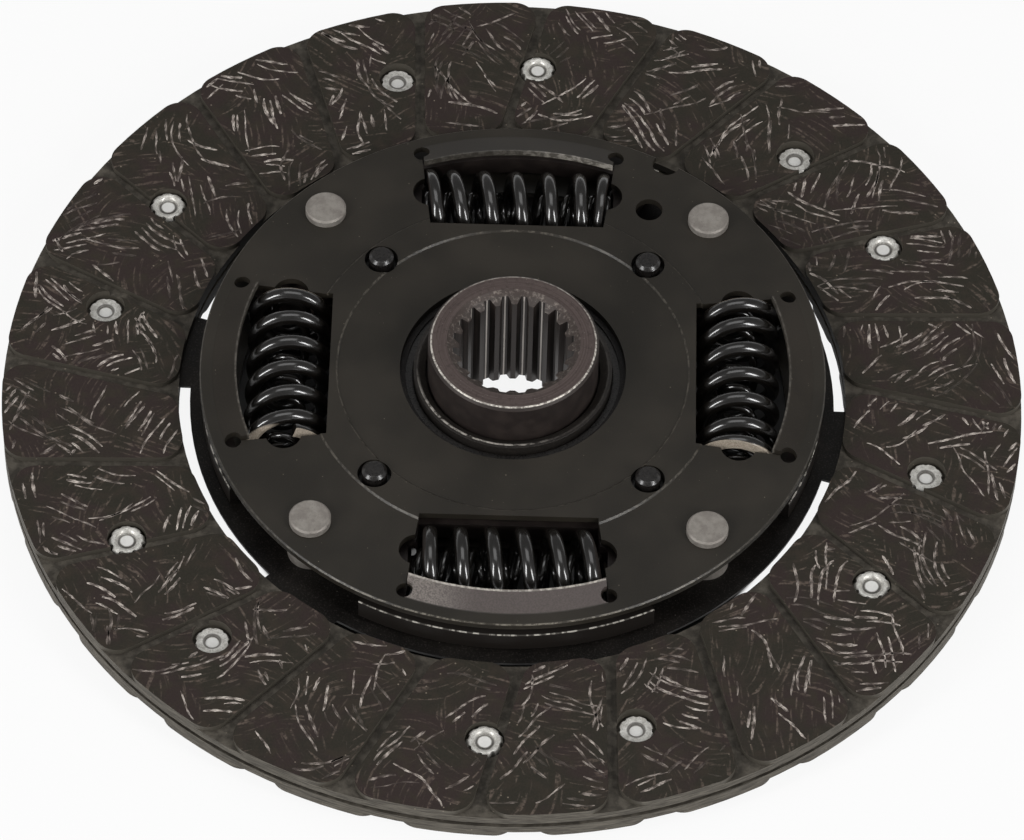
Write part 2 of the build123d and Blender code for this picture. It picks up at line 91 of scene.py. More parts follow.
class Nodes:
    """A node tree, with short calls for the nodes used here."""

    def __init__(self, tree):
        self.tree = tree

    def node(self, kind, **settings):
        """A new node with its settings."""
        made = self.tree.nodes.new(kind)
        for key, value in settings.items():
            setattr(made, key, value)
        return made

    def put(self, value, socket):
        """Link an output to a socket, or set the socket's own value."""
        if isinstance(value, bpy.types.NodeSocket):
            self.tree.links.new(value, socket)
        else:
            socket.default_value = value

    def split(self, vector):
        """The three parts of a vector."""
        made = self.node("ShaderNodeSeparateXYZ")
        self.put(vector, made.inputs[0])
        return made.outputs

    def join(self, x, y, z):
        """A vector of three parts."""
        made = self.node("ShaderNodeCombineXYZ")
        self.put(x, made.inputs[0])
        self.put(y, made.inputs[1])
        self.put(z, made.inputs[2])
        return made.outputs[0]

    def math(self, operation, a, b=0.0):
        """One step of arithmetic."""
        made = self.node("ShaderNodeMath", operation=operation)
        self.put(a, made.inputs[0])
        self.put(b, made.inputs[1])
        return made.outputs[0]

    def plus(self, a, b):
        return self.math("ADD", a, b)

    def minus(self, a, b):
        return self.math("SUBTRACT", a, b)

    def times(self, first, *others):
        """Product of the values; for masks, where all of them hold."""
        for value in others:
            first = self.math("MULTIPLY", first, value)
        return first

    def larger(self, a, b):
        """The larger value; for masks, where either holds."""
        return self.math("MAXIMUM", a, b)

    def size(self, a):
        """The value without its sign."""
        return self.math("ABSOLUTE", a)

    def between(self, value, low, high, first=0.0, last=1.0):
        """0 at low, 1 at high, smooth between; low may be the larger."""
        made = self.node("ShaderNodeMapRange", interpolation_type="SMOOTHSTEP")
        self.put(value, made.inputs["Value"])
        self.put(low, made.inputs["From Min"])
        self.put(high, made.inputs["From Max"])
        self.put(first, made.inputs["To Min"])
        self.put(last, made.inputs["To Max"])
        return made.outputs[0]

    def spread(self, value, low, high):
        """A 0 to 1 value carried to another range."""
        made = self.node("ShaderNodeMapRange")
        self.put(value, made.inputs["Value"])
        self.put(low, made.inputs["To Min"])
        self.put(high, made.inputs["To Max"])
        return made.outputs[0]

    def line(self, value, middle, half, soft):
        """1 on a thin line at a value, 0 away from it."""
        return self.between(self.size(self.minus(value, middle)), half + soft, half)

    def wrap(self, value, half):
        """Carry a value into the range from -half to half, which repeats."""
        made = self.node("ShaderNodeMath", operation="WRAP")
        self.put(value, made.inputs[0])
        self.put(half, made.inputs[1])
        self.put(-half, made.inputs[2])
        return made.outputs[0]

    def blend(self, share, a, b):
        """One colour at 0, the other at 1."""
        made = self.node("ShaderNodeMix", data_type="RGBA")
        self.put(share, made.inputs[0])
        self.put(a, made.inputs[6])
        self.put(b, made.inputs[7])
        return made.outputs[2]

    def choose(self, share, a, b):
        """One shader at 0, the other at 1."""
        made = self.node("ShaderNodeMixShader")
        self.put(share, made.inputs[0])
        self.put(a, made.inputs[1])
        self.put(b, made.inputs[2])
        return made.outputs[0]

    def turned(self, vector, angle):
        """A vector turned about Z."""
        made = self.node("ShaderNodeVectorRotate", rotation_type="Z_AXIS")
        self.put(vector, made.inputs["Vector"])
        self.put(angle, made.inputs["Angle"])
        return made.outputs[0]


def tone(value):
    """Screen colour 0-255 to the shader's linear colour; sockets pass through."""
    if isinstance(value, bpy.types.NodeSocket):
        return value
    line = []
    for c in value:
        c = c / 255.0
        line.append(c / 12.92 if c <= 0.04045 else ((c + 0.055) / 1.055) ** 2.4)
    return (line[0], line[1], line[2], 1.0)


class Finish(Nodes):
    """A material's node tree."""

    def __init__(self, name):
        self.material = bpy.data.materials.new(name)
        self.material.use_nodes = True
        super().__init__(self.material.node_tree)
        self.shader = self.tree.nodes["Principled BSDF"]
        source = self.node("ShaderNodeTexCoord")
        scaled = self.node("ShaderNodeVectorMath", operation="SCALE")
        self.put(source.outputs["Object"], scaled.inputs[0])
        self.put(1.0 / MM, scaled.inputs["Scale"])
        self.mm = scaled.outputs[0]

    def radius(self):
        """Distance from the part's axis, in millimetres."""
        x, y, _ = self.split(self.mm)
        return self.math("SQRT", self.plus(self.times(x, x), self.times(y, y)))

    def normal(self):
        """The surface's own direction, in three parts."""
        return self.split(self.node("ShaderNodeNewGeometry").outputs["Normal"])

    def noise(self, vector, scale, detail=2.0, roughness=0.5):
        """Soft noise, about 0.5 in the middle."""
        made = self.node("ShaderNodeTexNoise")
        self.put(vector, made.inputs["Vector"])
        self.put(scale, made.inputs["Scale"])
        self.put(detail, made.inputs["Detail"])
        self.put(roughness, made.inputs["Roughness"])
        return made.outputs["Fac"]

    def cells(self, vector, scale):
        """Random cells: distance, colour and place of the nearest centre."""
        made = self.node("ShaderNodeTexVoronoi")
        self.put(vector, made.inputs["Vector"])
        self.put(scale, made.inputs["Scale"])
        return made.outputs

    def specks(self, scale, size, keep, soft=0.03, core=0.4):
        """Sparse small dots; the more of them the lower keep is."""
        dots = self.cells(self.mm, scale)
        rare = self.between(self.split(dots["Color"])[0], keep, keep + soft)
        return self.times(self.between(dots["Distance"], size, size * core), rare)

    def mix(self, share, a, b):
        """One screen colour at 0, the other at 1."""
        return self.blend(share, tone(a), tone(b))

    def bump(self, height, distance_mm, strength=1.0, edge_mm=0.0):
        """Fine relief; with an edge width, sharp edges look rounded too."""
        made = self.node("ShaderNodeBump")
        self.put(height, made.inputs["Height"])
        self.put(distance_mm * MM, made.inputs["Distance"])
        self.put(strength, made.inputs["Strength"])
        if edge_mm:
            soft = self.node("ShaderNodeBevel", samples=4)
            self.put(edge_mm * MM, soft.inputs["Radius"])
            self.put(soft.outputs[0], made.inputs["Normal"])
        self.put(made.outputs[0], self.shader.inputs["Normal"])

    def done(self, colour, roughness, metallic=0.0, specular=0.5, coat=0.0, coat_roughness=0.1):
        """Set the surface and give its material."""
        self.put(tone(colour), self.shader.inputs["Base Color"])
        self.put(roughness, self.shader.inputs["Roughness"])
        self.put(metallic, self.shader.inputs["Metallic"])
        self.put(specular, self.shader.inputs["Specular IOR Level"])
        self.put(coat, self.shader.inputs["Coat Weight"])
        self.put(coat_roughness, self.shader.inputs["Coat Roughness"])
        return self.material


# Sizes of the solids, in millimetres and degrees
FACING_MIDDLE = 7.29
PAD_FACE = 3.61
FACING_OUTER = 100.0
FACING_BORE = 65.5
GROOVES = 24
GROOVE_HALF = 1.0
GROOVE_OFFSET = 18.2
GROOVE_START = 1.7
PAD_CORNER = 4.5
RIVET_PAIRS = 6
RIVET_CIRCLE = 82.9
RIVET_HOLE = 3.8
RIVET_RIM = 3.0
RIVET_CREASE = 1.55
RIVET_TUBE = 1.35
RIVET_PAIR_ANGLE = 37.65
RIVET_SPREAD = 10.0
SPRINGS = 4
SPRING_CIRCLE = 44.1
SPRING_HALF = 17.65
SPRING_SLOPE = 0.1263
SPRING_RUB = 2.2
INNER_SPRING_HALF = 18.55
INNER_SPRING_RUB = 0.1
LIP_TIP = 54.0
PLATES_MIDDLE = 11.395
PLATES_HALF = 5.905
PLATE_RADIUS = 61.2
PLATE_RING_INNER = 34.42
PLATE_RING_OUTER = 40.78
HUB_HALF = 13.0
HUB_RADIUS = 16.67
HUB_CHAMFER = 0.56
FLANGE_TOP = 13.5
FLANGE_RADIUS = 61.0
TEETH = 20
TOOTH_SPACE = 99.0
SPLINE_CREST = 10.6
SPLINE_ROOT = 11.9
SPLINE_MOUTH = 13.0
BUSH_EDGE = 18.6

# Yarn bundles in the facings, in millimetres; pairs are ranges of random draws
YARN_TRIES = 5000
YARN_SPACING = 6.2
YARN_COUNTS = (2, 3, 3, 4, 4, 5)
YARN_GAP = (1.1, 2.1)
YARN_SHIFT = 0.3
YARN_SLIDE = (-6.0, -1.0)
YARN_DIM = (0.15, 0.72)
YARN_BRIGHT = (0.7, 1.0)
YARN_DIM_SHARE = 0.8
YARN_LEVEL_SPREAD = 0.2

# Which way a bundle lies, from the circle round the axis: degrees at the facing's
# edges, degrees more in its middle, degrees at random; shares that lie otherwise
YARN_SLANT = (20.0, 38.0, 12.0)
YARN_CROSSED_SHARE = 0.2
YARN_STRAY_SHARE = 0.12

# One strand: its way along the pad, bends in radians per millimetre, and its section
YARN_REACH = (4.0, 9.5)
YARN_LONG_REACH = (9.5, 15.0)
YARN_SHORT_SHARE = 0.75
YARN_STEP = 0.55
YARN_MARGIN = 0.55
YARN_BEND = 0.08
YARN_FAN = 0.09
YARN_SWAY = (0.04, 0.2)
YARN_SWAY_PACE = (0.4, 0.9)
YARN_PHASE = (0.0, 6.3)
YARN_LEAST_POINTS = 4
YARN_WIDTH = (0.24, 0.48)
YARN_UNEVEN = (0.65, 1.3)
YARN_WAVE_PACE = (0.7, 1.4)
YARN_FLICKER = (0.8, 1.1)
YARN_SECTION = ((-1.0, -0.06), (-0.5, 0.035), (0.5, 0.035), (1.0, -0.06))

# Colours as they look on screen, 0 to 255
LINING_OLIVE = (39, 37, 30)
LINING_BROWN = (46, 36, 35)
LINING_TAN = (48, 42, 35)
LINING_GRAIN = (62, 55, 47)
LINING_DOT = (150, 138, 124)
YARN_SUNKEN = (112, 99, 90)
YARN_DULL = (106, 93, 87)
YARN_PALE = (224, 213, 203)
GROOVE_TONES = ((58, 54, 48), (86, 81, 73))
WALL_TONES = ((34, 31, 28), (56, 52, 47))
GROOVE_WALL_PAINTED_LIGHT_TONES = ((70, 66, 58), (96, 91, 82))
FACING_RIM_HIGHLIGHT_TONES = ((58, 54, 48), (104, 99, 90))
PAINT_TONES = ((36, 33, 28), (46, 42, 36))
PAINT_GRAIN = (62, 57, 50)
PAINT_DUST = (132, 124, 110)
RING_WEAR_AND_HIGHLIGHT = (120, 114, 104)
LIP_PAINTED_SHEEN = (90, 80, 78)
LIP_PAINTED_HIGHLIGHT = (128, 121, 115)
LIP_TIP_WEAR_AND_HIGHLIGHT = (190, 184, 174)
PLATE_RIM_WEAR_AND_HIGHLIGHT = (132, 126, 115)
ZINC_TONES = ((230, 228, 222), (190, 187, 180))
ZINC_GRAIN = (104, 100, 94)
ZINC_CREASE_SHADE = (70, 66, 62)
ZINC_RIM = (96, 92, 86)
ZINC_CENTRE = (250, 249, 246)
PIN_TONES = ((131, 125, 119), (151, 146, 139))
PIN_GRAIN = (82, 76, 72)
PIN_DUST = (170, 165, 158)
SPRING_TONES = ((10, 8, 6), (20, 16, 12))
BARE_END_TONES = ((128, 118, 106), (186, 174, 158))
DARK_END_TONES = ((26, 23, 21), (44, 39, 36))
INNER_END_TONES = ((18, 16, 15), (38, 34, 31))
FORGED_TONES = ((36, 30, 28), (48, 41, 38))
FORGED_GRAIN = (66, 60, 56)
NOSE_TONES = ((76, 65, 63), (96, 85, 81))
NOSE_PITS = (50, 42, 41)
NOSE_GLINTS = (160, 153, 145)
CHAMFER_DARK = (52, 46, 43)
CORNER_BARE_AND_HIGHLIGHT = (224, 218, 208)
FLANGE_DARK = (27, 23, 20)
FLANGE_EDGE = (205, 200, 190)
BORE_TONES = ((40, 35, 33), (74, 66, 62))
SPLINE_CREST_TONE = (50, 44, 41)
SPLINE_ROOT_TONE = (42, 37, 35)
SPLINE_LINE = (210, 202, 194)
MOUTH_TONES = ((66, 58, 54), (140, 131, 123))
BUSH_TONES = ((30, 27, 25), (50, 46, 42))
BUSH_WEAR_AND_HIGHLIGHT = (182, 176, 168)
BUSH_DUST = (140, 133, 124)
PEG_TONES = ((22, 20, 19), (40, 37, 35))
PEG_DUST = (140, 134, 126)
CUSHION_TONES = ((18, 16, 14), (28, 25, 22))
DIAPHRAGM_TONES = ((20, 18, 18), (30, 27, 26))
CARRIER_TONES = ((34, 31, 29), (50, 46, 43))
BLUED_GRAIN = (96, 90, 86)
BLUED_DUST = (150, 143, 134)


# Friction lining: moulded matrix with pale yarn in patches that lie different ways

def lining_ground(t):
    """Matrix colour, and the fine grain that it follows."""
    patch = t.noise(t.mm, 0.09, 3.0)
    grain = t.noise(t.mm, 2.2, 4.0, 0.65)
    ground = t.mix(t.between(patch, 0.42, 0.6), LINING_OLIVE, LINING_BROWN)
    ground = t.mix(t.between(t.noise(t.mm, 0.35, 3.0), 0.45, 0.7), ground, LINING_TAN)
    ground = t.mix(t.spread(t.between(grain, 0.3, 0.75), 0.0, 0.4), ground, LINING_GRAIN)
    return ground, grain


def surface_yarn(t):
    """Short strokes that run one way inside each patch and bend a little."""
    x, y, _ = t.split(t.mm)
    flat = t.join(x, y, 3.0)
    cell = t.cells(flat, 0.085)
    shift = t.node("ShaderNodeVectorMath", operation="SUBTRACT")
    t.put(flat, shift.inputs[0])
    t.put(cell["Position"], shift.inputs[1])
    pick = t.split(cell["Color"])
    u, v, _ = t.split(t.turned(shift.outputs[0], t.times(pick[0], 2 * math.pi)))
    v = t.plus(v, t.times(u, u, t.spread(pick[1], -0.05, 0.05)))
    stroke = t.join(t.times(u, 0.16), t.times(v, 1.5), t.times(pick[2], 40.0))
    return t.between(t.noise(stroke, 1.0, 1.0, 0.4), 0.56, 0.74)


def lining(name):
    """Facing: yarn on the pads, lighter groove floors, banded walls, groove walls lightened by
    painted light and a painted highlight on the outer rim.
    """
    t = Finish(name)
    ground, grain = lining_ground(t)
    r = t.radius()
    depth = t.size(t.minus(t.split(t.mm)[2], FACING_MIDDLE))
    up = t.size(t.normal()[2])
    flat = t.between(up, 0.5, 0.8)
    pad = t.times(flat, t.between(depth, PAD_FACE - 0.3, PAD_FACE - 0.1))
    broken = t.between(t.noise(t.mm, 1.1, 3.0, 0.6), 0.34, 0.62)
    colour = t.mix(t.times(surface_yarn(t), broken, pad, 0.6), ground, YARN_SUNKEN)
    groove = t.times(flat, t.between(depth, PAD_FACE - 0.5, PAD_FACE - 0.8))
    smear = t.between(t.noise(t.mm, 0.5, 3.0, 0.6), 0.35, 0.7)
    colour = t.mix(groove, colour, t.mix(smear, *GROOVE_TONES))
    side = t.between(up, 0.6, 0.3)
    rim = t.times(side, t.between(r, FACING_OUTER - 0.3, FACING_OUTER - 0.1))
    # Walls of the grooves and holes: colour lightened as painted light that lifts their shade
    wall = t.times(side, t.between(r, FACING_OUTER, FACING_OUTER - 0.2))
    wall = t.times(wall, t.between(r, FACING_BORE + 0.1, FACING_BORE + 0.3), 0.7)
    flattened = t.node("ShaderNodeVectorMath", operation="MULTIPLY")
    t.put(t.mm, flattened.inputs[0])
    t.put((0.25, 0.25, 4.0), flattened.inputs[1])
    band = t.noise(flattened.outputs[0], 1.0, 3.0, 0.6)
    colour = t.mix(side, colour, t.mix(band, *WALL_TONES))
    colour = t.mix(wall, colour, t.mix(band, *GROOVE_WALL_PAINTED_LIGHT_TONES))
    # Outer rim: a painted highlight, lighter as if lit from the front
    colour = t.mix(rim, colour, t.mix(t.between(band, 0.3, 0.7), *FACING_RIM_HIGHLIGHT_TONES))
    dots = t.specks(0.75, 0.16, 0.86, 0.04, 0.5)
    colour = t.mix(t.times(dots, 0.6), colour, LINING_DOT)
    t.bump(grain, 0.06, 0.6)
    return t.done(colour, t.spread(grain, 0.5, 0.75), specular=0.22)


def yarn_finish(name):
    """Pale beads along each strand, fading into the matrix at its edges."""
    t = Finish(name)
    ground = lining_ground(t)[0]
    own = t.node("ShaderNodeAttribute", attribute_name="strand")
    shade, along, across = t.split(own.outputs["Vector"])
    beads = t.noise(t.join(t.times(along, 0.9), t.times(across, 1.6), 3.0), 1.0, 3.0, 0.7)
    beads = t.between(beads, 0.38, 0.58)
    edge = t.between(t.size(across), 1.05, 0.5)
    cover = t.times(t.spread(beads, 0.1, 1.0), t.between(shade, -0.05, 0.35))
    cover = t.times(cover, t.spread(edge, 0.45, 1.0))
    colour = t.mix(cover, ground, t.mix(shade, YARN_DULL, YARN_PALE))
    t.bump(beads, 0.05, 0.5)
    return t.done(colour, 0.5, specular=0.3)


def near_groove(x, y):
    """Distance to the side of the nearest groove, less than 0 inside one."""
    least = 1e9
    for k in range(GROOVES):
        a = math.radians(GROOVE_START + k * 360.0 / GROOVES)
        u = x * math.cos(a) + y * math.sin(a)
        v = -x * math.sin(a) + y * math.cos(a)
        if u > 0:
            least = min(least, abs(v - GROOVE_OFFSET) - GROOVE_HALF)
    return least


def on_pad(x, y, margin):
    """Whether a place lies on a pad's flat face, clear of its edges."""
    r = math.hypot(x, y)
    rim = min(FACING_OUTER - r, r - FACING_BORE)
    side = near_groove(x, y)
    if rim < margin or side < margin:
        return False
    if rim < PAD_CORNER and side < PAD_CORNER:
        if math.hypot(PAD_CORNER - rim, PAD_CORNER - side) > PAD_CORNER - margin:
            return False
    for k in range(RIVET_PAIRS):
        for way in (-1, 1):
            a = math.radians(RIVET_PAIR_ANGLE + k * 360.0 / RIVET_PAIRS + way * RIVET_SPREAD)
            off_x = x - RIVET_CIRCLE * math.cos(a)
            off_y = y - RIVET_CIRCLE * math.sin(a)
            if math.hypot(off_x, off_y) < RIVET_HOLE + margin:
                return False
    return True


def strand_line(rng, x, y, lean, bend):
    """Points of one wavy strand, from a start place, until it leaves its pad."""
    reach = YARN_REACH if rng.random() < YARN_SHORT_SHARE else YARN_LONG_REACH
    reach = rng.uniform(*reach)
    sway = rng.uniform(*YARN_SWAY)
    pace = rng.uniform(*YARN_SWAY_PACE)
    start = rng.uniform(*YARN_PHASE)
    points = []
    for k in range(int(reach / YARN_STEP)):
        if not on_pad(x, y, YARN_MARGIN):
            break
        points.append((x, y))
        gone = k * YARN_STEP
        turn = lean + bend * gone + sway * math.sin(start + pace * gone)
        x += YARN_STEP * math.cos(turn)
        y += YARN_STEP * math.sin(turn)
    return points


def bundle_places(rng):
    """Places of the yarn bundles, spread so that few of them cross."""
    places = []
    for _ in range(YARN_TRIES):
        r = math.sqrt(rng.uniform(FACING_BORE**2, FACING_OUTER**2))
        a = rng.uniform(0.0, 2 * math.pi)
        x = r * math.cos(a)
        y = r * math.sin(a)
        if all(math.hypot(x - u, y - v) > YARN_SPACING for u, v in places):
            places.append((x, y))
    return places


def yarn_lines(rng, seed):
    """Points, width and brightness of every strand, bundle by bundle."""
    lines = []
    slant_edge, slant_more, slant_loose = YARN_SLANT
    for x, y in bundle_places(rng):
        around = math.atan2(y, x)
        share = (math.hypot(x, y) - FACING_BORE) / (FACING_OUTER - FACING_BORE)
        way = 1 if math.sin(9.0 * around + 5.0 * share + seed) > 0 else -1
        if rng.random() < YARN_CROSSED_SHARE:
            way = -way
        slant = slant_edge + slant_more * math.sin(math.pi * share)
        slant += rng.uniform(-slant_loose, slant_loose)
        lean = around + math.pi / 2 + math.radians(way * slant)
        if rng.random() < YARN_STRAY_SHARE:
            lean = rng.uniform(0.0, 2 * math.pi)
        bend = rng.uniform(-YARN_BEND, YARN_BEND)
        count = rng.choice(YARN_COUNTS)
        gap = rng.uniform(*YARN_GAP)
        bright = rng.uniform(*(YARN_DIM if rng.random() < YARN_DIM_SHARE else YARN_BRIGHT))
        for k in range(count):
            off = gap * (k - (count - 1) / 2) + rng.uniform(-YARN_SHIFT, YARN_SHIFT)
            slide = rng.uniform(*YARN_SLIDE)
            start_x = x - off * math.sin(lean) + slide * math.cos(lean)
            start_y = y + off * math.cos(lean) + slide * math.sin(lean)
            own_lean = lean + rng.uniform(-YARN_FAN, YARN_FAN)
            points = strand_line(rng, start_x, start_y, own_lean, bend)
            if len(points) >= YARN_LEAST_POINTS:
                width = rng.uniform(*YARN_WIDTH)
                level = bright + rng.uniform(-YARN_LEVEL_SPREAD, YARN_LEVEL_SPREAD)
                lines.append((points, width, min(1.0, max(0.1, level))))
    return lines


def yarn_ridges(rng, lines):
    """A low closed ridge along each strand; brightness and place kept for each corner."""
    verts = []
    faces = []
    strand = []
    corners = len(YARN_SECTION)
    for points, width, bright in lines:
        first = len(verts)
        count = len(points)
        pace = rng.uniform(*YARN_WAVE_PACE)
        start = rng.uniform(*YARN_PHASE)
        for k, (x, y) in enumerate(points):
            ax, ay = points[max(0, k - 1)]
            bx, by = points[min(count - 1, k + 1)]
            far = math.hypot(bx - ax, by - ay)
            nx = -(by - ay) / far
            ny = (bx - ax) / far
            share = k / (count - 1)
            taper = 0.5 + 0.5 * math.sin(math.pi * share) ** 0.4
            half = width * taper * rng.uniform(*YARN_UNEVEN)
            wave = 0.6 + 0.4 * math.sin(start + pace * k)
            level = bright * wave * rng.uniform(*YARN_FLICKER)
            for side, height in YARN_SECTION:
                top = FACING_MIDDLE + PAD_FACE + height
                verts.append((x + side * half * nx, y + side * half * ny, top))
                strand.append((level, first + k * YARN_STEP, side))
        for k in range(count - 1):
            a = first + corners * k
            b = a + corners
            for i in range(corners):
                j = (i + 1) % corners
                faces.append((a + i, a + j, b + j, b + i))
        last = first + corners * (count - 1)
        faces.append(tuple(range(first + corners - 1, first - 1, -1)))
        faces.append(tuple(range(last, last + corners)))
    return verts, faces, strand


def facing_strands(name, seed, turned_over):
    """Raised yarn strands on the pads of one facing."""
    rng = random.Random(seed)
    verts, faces, strand = yarn_ridges(rng, yarn_lines(rng, seed))
    if turned_over:
        c = math.cos(2 * math.radians(RIVET_PAIR_ANGLE))
        s = math.sin(2 * math.radians(RIVET_PAIR_ANGLE))
        verts = [(x * c + y * s, x * s - y * c, 2 * FACING_MIDDLE - z) for x, y, z in verts]
    mesh = bpy.data.meshes.new(name)
    mesh.from_pydata([(x * MM, y * MM, z * MM) for x, y, z in verts], [], faces)
    layer = mesh.attributes.new("strand", "FLOAT_VECTOR", "POINT")
    for k, value in enumerate(strand):
        layer.data[k].vector = value
    mesh.update()
    piece = bpy.data.objects.new(name, mesh)
    bpy.context.scene.collection.objects.link(piece)
    return piece


# Steel, paint and plastic

def plate_paint(name):
    """Thin black paint on pressed steel: satin and dusty; raised edges, lip tips and the rim
    show wear with painted highlights, and the lips a painted sheen.
    """
    t = Finish(name)
    x, y, z = t.split(t.mm)
    r = t.radius()
    cloud = t.noise(t.mm, 0.06, 3.0)
    fine = t.noise(t.mm, 3.0, 3.0, 0.6)
    colour = t.mix(t.between(cloud, 0.35, 0.7), *PAINT_TONES)
    colour = t.mix(t.spread(t.between(fine, 0.5, 0.8), 0.0, 0.3), colour, PAINT_GRAIN)
    wear_and_highlight_patches = t.between(t.noise(t.mm, 0.8, 4.0, 0.7), 0.42, 0.62)

    # Edges of the raised ring: paint wear with a painted highlight
    inner = t.line(r, PLATE_RING_INNER, 0.1, 0.12)
    outer = t.line(r, PLATE_RING_OUTER, 0.1, 0.12)
    colour = t.mix(t.times(t.larger(inner, outer), wear_and_highlight_patches, 0.4), colour, RING_WEAR_AND_HIGHLIGHT)

    # Window lips: a painted sheen, strongest on the near window, and a painted highlight at its
    # left end
    raised = t.minus(t.size(t.minus(z, PLATES_MIDDLE)), PLATES_HALF)
    lip = t.times(t.between(raised, 0.02, 0.1), t.between(r, LIP_TIP - 0.4, LIP_TIP - 0.1))
    side = t.math("DIVIDE", y, r)
    near = t.between(side, -0.6, -0.9)
    far = t.times(t.between(side, 0.6, 0.9), t.between(x, -6.0, 15.0))
    patch_mask = t.times(lip, t.spread(t.between(fine, 0.3, 0.7), 0.55, 0.9))
    colour = t.mix(t.times(patch_mask, t.spread(near, 0.05, 0.8)), colour, LIP_PAINTED_SHEEN)
    left = t.times(t.between(x, -5.0, -16.0), t.between(y, -40.0, -50.0))
    left = t.times(patch_mask, left, t.spread(t.between(fine, 0.35, 0.6), 0.4, 0.9))
    colour = t.mix(left, colour, LIP_PAINTED_HIGHLIGHT)
    # Lip tips: bare edge wear with a painted highlight, full on the near window and half on the
    # far one
    tip = t.times(lip, t.line(r, LIP_TIP, 0.3, 0.15), t.spread(wear_and_highlight_patches, 0.25, 1.0))
    tip = t.times(tip, t.plus(t.spread(near, 0.15, 0.85), t.times(far, 0.5)))
    colour = t.mix(tip, colour, LIP_TIP_WEAR_AND_HIGHLIGHT)

    # Outer rim: paint wear with a painted highlight, strongest on the near and far sides
    across = t.between(t.size(side), 0.6, 0.9)
    rim = t.between(r, PLATE_RADIUS - 0.3, PLATE_RADIUS - 0.2)
    rim = t.times(rim, t.between(raised, -0.4, -0.25), t.between(raised, 0.05, 0.0))
    rim = t.times(rim, t.spread(across, 0.25, 1.0), t.spread(wear_and_highlight_patches, 0.05, 0.7))
    colour = t.mix(rim, colour, PLATE_RIM_WEAR_AND_HIGHLIGHT)

    dust = t.larger(t.specks(0.42, 0.06, 0.6), t.specks(0.9, 0.08, 0.85))
    colour = t.mix(t.times(dust, 0.7), colour, PAINT_DUST)
    t.bump(fine, 0.02, 0.5)
    rough = t.minus(t.spread(cloud, 0.36, 0.46), t.times(lip, 0.06))
    return t.done(colour, rough, specular=0.35)


def zinc(name):
    """Bright plated rivet steel, with painted shade in the creases round each bore."""
    t = Finish(name)
    x, y, _ = t.split(t.mm)
    r = t.radius()
    turn = t.minus(t.math("ARCTAN2", y, x), math.radians(RIVET_PAIR_ANGLE))
    turn = t.wrap(turn, math.pi / RIVET_PAIRS)
    turn = t.minus(t.size(turn), math.radians(RIVET_SPREAD))

    # Distance from the nearest rivet's axis
    far = t.times(t.math("COSINE", turn), t.times(r, 2.0 * RIVET_CIRCLE))
    far = t.minus(t.plus(t.times(r, r), RIVET_CIRCLE**2), far)
    far = t.math("SQRT", t.larger(far, 0.0))

    blot = t.noise(t.mm, 0.9, 3.0, 0.6)
    fine = t.noise(t.mm, 5.0, 3.0, 0.6)
    colour = t.mix(t.between(blot, 0.35, 0.7), *ZINC_TONES)
    colour = t.mix(t.spread(t.between(fine, 0.5, 0.7), 0.0, 0.5), colour, ZINC_GRAIN)
    # Painted shade: a dark ring in the crease round the bore
    colour = t.mix(t.times(t.line(far, RIVET_CREASE, 0.12, 0.25), 0.75), colour, ZINC_CREASE_SHADE)
    colour = t.mix(t.times(t.between(far, RIVET_RIM, RIVET_RIM + 0.3), 0.5), colour, ZINC_RIM)
    centre = t.between(far, RIVET_TUBE, RIVET_TUBE - 0.25)
    colour = t.mix(t.times(centre, 0.8), colour, ZINC_CENTRE)
    t.bump(fine, 0.03, 0.5)
    return t.done(colour, t.spread(blot, 0.34, 0.5), metallic=0.4)


def pin_steel(name):
    """Bare steel pin ends, pressed flat and matt."""
    t = Finish(name)
    blot = t.noise(t.mm, 0.45, 4.0, 0.6)
    fine = t.noise(t.mm, 4.0, 3.0, 0.65)
    colour = t.mix(t.between(blot, 0.35, 0.68), *PIN_TONES)
    colour = t.mix(t.spread(t.between(fine, 0.55, 0.8), 0.0, 0.6), colour, PIN_GRAIN)
    colour = t.mix(t.times(t.specks(1.1, 0.12, 0.6), 0.6), colour, PIN_DUST)
    t.bump(t.plus(fine, blot), 0.03, 0.6, 0.15)
    return t.done(colour, t.spread(fine, 0.5, 0.7), metallic=0.35, specular=0.4)


def spring_paint(name, axis, half, slope, rub, ends):
    """Glossy black wire; the ground ends, which may slope, show steel."""
    t = Finish(name)
    places = t.split(t.mm)
    along = t.size(places[axis])
    across = t.minus(t.size(places[1 - axis]), SPRING_CIRCLE)
    along = t.minus(along, t.times(across, slope))
    ground_end = t.between(along, half - 0.07, half - 0.03)
    outward = t.times(t.normal()[axis], t.math("SIGN", places[axis]))
    patch_mask = t.between(along, half - rub, half - rub + 0.3)
    patch_mask = t.times(patch_mask, t.between(outward, 0.45, 0.62))
    ground_end = t.larger(ground_end, patch_mask)
    fine = t.noise(t.mm, 2.5, 3.0, 0.6)
    black = t.mix(t.between(fine, 0.4, 0.75), *SPRING_TONES)
    bare = t.mix(t.between(t.noise(t.mm, 3.5, 4.0, 0.7), 0.3, 0.7), *ends)
    colour = t.mix(ground_end, black, bare)
    gloss = t.minus(1.0, ground_end)
    t.bump(fine, 0.01, 0.4)
    t.put(1.72, t.shader.inputs["Coat IOR"])
    rough = t.spread(fine, 0.45, 0.6)
    return t.done(colour, rough, specular=0.15, coat=gloss, coat_roughness=0.17)


